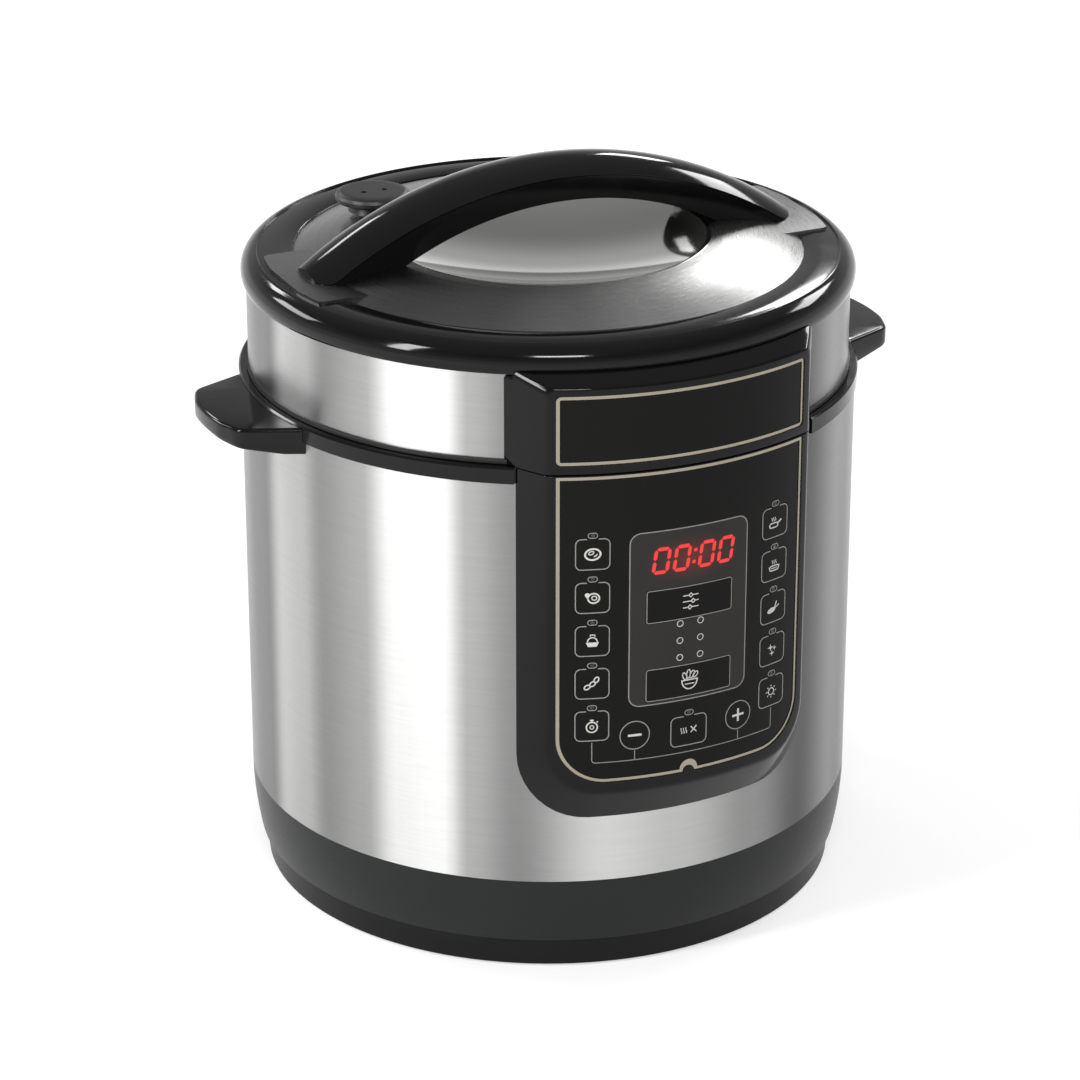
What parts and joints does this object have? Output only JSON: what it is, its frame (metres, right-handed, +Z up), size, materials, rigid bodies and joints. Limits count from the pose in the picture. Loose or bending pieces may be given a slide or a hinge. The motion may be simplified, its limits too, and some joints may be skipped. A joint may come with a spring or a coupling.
{
  "type": "electric pressure cooker",
  "caption": "Round electric pressure cooker with a brushed steel body, a turn-and-lift lid with an arched handle, a wrapped key panel and a lift-out cooking pot.",
  "frame": {"origin": "on the floor plane, on the cooking pot's vertical axis", "axes": "+Z up along the pot's axis, control panel towards -Y, side handles along X"},
  "size_m": [0.358, 0.3367, 0.3632],
  "materials": {
    "charcoal_plastic": "satin moulded",
    "black_rubber": "matt",
    "brushed_steel": "fine brushing round the body",
    "gloss_black": "high gloss",
    "plain_steel": "plain",
    "cast_aluminium": "cast, satin",
    "cream_plastic": "plain",
    "circuit_board": "solder mask",
    "black_plastic": "plain",
    "overlay_film": "gloss film",
    "silver_trim": "satin silver line",
    "tinted_lens": "tinted gloss",
    "clear_pipe": "clear moulded",
    "coated_pot": "non-stick inside",
    "clear_cup": "clear moulded",
    "red_plastic": "plain",
    "satin_plate": "satin rim, polished dish",
    "silicone": "soft silicone",
    "red_silicone": "soft silicone"
  },
  "bodies": {
    "base": {"base_moulding": "charcoal_plastic", "rubber_feet": "black_rubber", "lower_skin": "brushed_steel", "mid_ring": "gloss_black", "side_handle_left": "gloss_black", "side_handle_right": "gloss_black", "outer_pot": "plain_steel", "heating_plate": "cast_aluminium", "heater_bracket": "plain_steel", "pressure_switch": "cream_plastic", "power_board": "circuit_board", "inlet_socket": "black_plastic", "panel_bezel": "gloss_black", "panel_overlay": "overlay_film", "panel_frame": "silver_trim", "display_lens": "tinted_lens", "display_module": "black_plastic", "control_board": "circuit_board", "light_pipes": "clear_pipe", "cup_bracket": "black_plastic", "body_screws": "plain_steel", "sensor_spring": "plain_steel"},
    "sensor": {"sensor_button": "cast_aluminium"},
    "pot": {"inner_pot": "coated_pot"},
    "cup": {"condensate_cup": "clear_cup"},
    "shuttle": {"lid_lock_shuttle": "red_plastic"},
    "lid": {"lid_trim": "gloss_black", "lid_band": "brushed_steel", "lid_ring": "gloss_black", "lid_dome_plate": "satin_plate", "lid_handle_base": "gloss_black", "lid_handle_top": "gloss_black", "lid_bezel": "gloss_black", "badge_plate": "overlay_film", "badge_frame": "silver_trim", "pressure_lid": "cast_aluminium", "lid_gasket": "silicone", "gasket_plate": "plain_steel", "gasket_plate_nut": "black_rubber", "vent_pipe": "plain_steel", "vent_shield": "plain_steel", "float_grommet": "red_silicone", "lid_studs": "plain_steel"},
    "valve": {"valve_knob": "gloss_black"},
    "float": {"float_pin": "plain_steel"},
    "key_program_1_body": {"key_program_1": "overlay_film"},
    "key_program_2_body": {"key_program_2": "overlay_film"},
    "key_program_3_body": {"key_program_3": "overlay_film"},
    "key_program_4_body": {"key_program_4": "overlay_film"},
    "key_program_5_body": {"key_program_5": "overlay_film"},
    "key_program_6_body": {"key_program_6": "overlay_film"},
    "key_program_7_body": {"key_program_7": "overlay_film"},
    "key_program_8_body": {"key_program_8": "overlay_film"},
    "key_program_9_body": {"key_program_9": "overlay_film"},
    "key_program_10_body": {"key_program_10": "overlay_film"},
    "key_minus_body": {"key_minus": "overlay_film"},
    "key_plus_body": {"key_plus": "overlay_film"},
    "key_cancel_body": {"key_cancel": "overlay_film"},
    "key_adjust_body": {"key_adjust": "overlay_film"},
    "key_menu_body": {"key_menu": "overlay_film"}
  },
  "joints": [
    {"name": "lid_turn", "type": "hinge", "parent": "base", "child": "shuttle", "pos_m": [0, 0, 0.261], "axis": [0, 0, 1], "range_deg": [0, 22.5]},
    {"name": "lid_lift", "type": "slide", "parent": "shuttle", "child": "lid", "axis": [0, 0, 1], "range_m": [0, 0.2]},
    {"name": "pot_lift", "type": "slide", "parent": "base", "child": "pot", "axis": [0, 0, 1], "range_m": [0, 0.172]},
    {"name": "valve_turn", "type": "hinge", "parent": "lid", "child": "valve", "pos_m": [-0.064, 0.067, 0.33], "axis": [0, 0, 1], "range_deg": [0, 60]},
    {"name": "float_rise", "type": "slide", "parent": "lid", "child": "float", "axis": [0, 0, 1], "range_m": [0, 0.004]},
    {"name": "sensor_press", "type": "slide", "parent": "base", "child": "sensor", "axis": [0, 0, 1], "range_m": [-0.002, 0], "stiffness_N_per_m": 900, "springref_m": 0.003, "deforming": ["sensor_spring"]},
    {"name": "cup_slide", "type": "slide", "parent": "base", "child": "cup", "axis": [0, 1, 0], "range_m": [0, 0.03]},
    {"name": "key_program_1_press", "type": "slide", "parent": "base", "child": "key_program_1_body", "axis": [0.2957, 0.9553, 0], "range_m": [0, 0.0004], "stiffness_N_per_m": 600, "springref_m": -0.0005},
    {"name": "key_program_2_press", "type": "slide", "parent": "base", "child": "key_program_2_body", "axis": [0.2957, 0.9553, 0], "range_m": [0, 0.0004], "stiffness_N_per_m": 600, "springref_m": -0.0005},
    {"name": "key_program_3_press", "type": "slide", "parent": "base", "child": "key_program_3_body", "axis": [0.2957, 0.9553, 0], "range_m": [0, 0.0004], "stiffness_N_per_m": 600, "springref_m": -0.0005},
    {"name": "key_program_4_press", "type": "slide", "parent": "base", "child": "key_program_4_body", "axis": [0.2957, 0.9553, 0], "range_m": [0, 0.0004], "stiffness_N_per_m": 600, "springref_m": -0.0005},
    {"name": "key_program_5_press", "type": "slide", "parent": "base", "child": "key_program_5_body", "axis": [0.2957, 0.9553, 0], "range_m": [0, 0.0004], "stiffness_N_per_m": 600, "springref_m": -0.0005},
    {"name": "key_program_6_press", "type": "slide", "parent": "base", "child": "key_program_6_body", "axis": [-0.2957, 0.9553, 0], "range_m": [0, 0.0004], "stiffness_N_per_m": 600, "springref_m": -0.0005},
    {"name": "key_program_7_press", "type": "slide", "parent": "base", "child": "key_program_7_body", "axis": [-0.2957, 0.9553, 0], "range_m": [0, 0.0004], "stiffness_N_per_m": 600, "springref_m": -0.0005},
    {"name": "key_program_8_press", "type": "slide", "parent": "base", "child": "key_program_8_body", "axis": [-0.2957, 0.9553, 0], "range_m": [0, 0.0004], "stiffness_N_per_m": 600, "springref_m": -0.0005},
    {"name": "key_program_9_press", "type": "slide", "parent": "base", "child": "key_program_9_body", "axis": [-0.2957, 0.9553, 0], "range_m": [0, 0.0004], "stiffness_N_per_m": 600, "springref_m": -0.0005},
    {"name": "key_program_10_press", "type": "slide", "parent": "base", "child": "key_program_10_body", "axis": [-0.2957, 0.9553, 0], "range_m": [0, 0.0004], "stiffness_N_per_m": 600, "springref_m": -0.0005},
    {"name": "key_minus_press", "type": "slide", "parent": "base", "child": "key_minus_body", "axis": [0.1702, 0.9854, 0], "range_m": [0, 0.0004], "stiffness_N_per_m": 600, "springref_m": -0.0005},
    {"name": "key_plus_press", "type": "slide", "parent": "base", "child": "key_plus_body", "axis": [-0.1702, 0.9854, 0], "range_m": [0, 0.0004], "stiffness_N_per_m": 600, "springref_m": -0.0005},
    {"name": "key_cancel_press", "type": "slide", "parent": "base", "child": "key_cancel_body", "axis": [0, 1, 0], "range_m": [0, 0.0004], "stiffness_N_per_m": 600, "springref_m": -0.0005},
    {"name": "key_adjust_press", "type": "slide", "parent": "base", "child": "key_adjust_body", "axis": [0, 1, 0], "range_m": [0, 0.0004], "stiffness_N_per_m": 600, "springref_m": -0.0005},
    {"name": "key_menu_press", "type": "slide", "parent": "base", "child": "key_menu_body", "axis": [0, 1, 0], "range_m": [0, 0.0004], "stiffness_N_per_m": 600, "springref_m": -0.0005}
  ],
  "couplings": [
    {"joint": "pot_lift", "follows": "lid_lift", "ratio": 0.85}
  ]
}
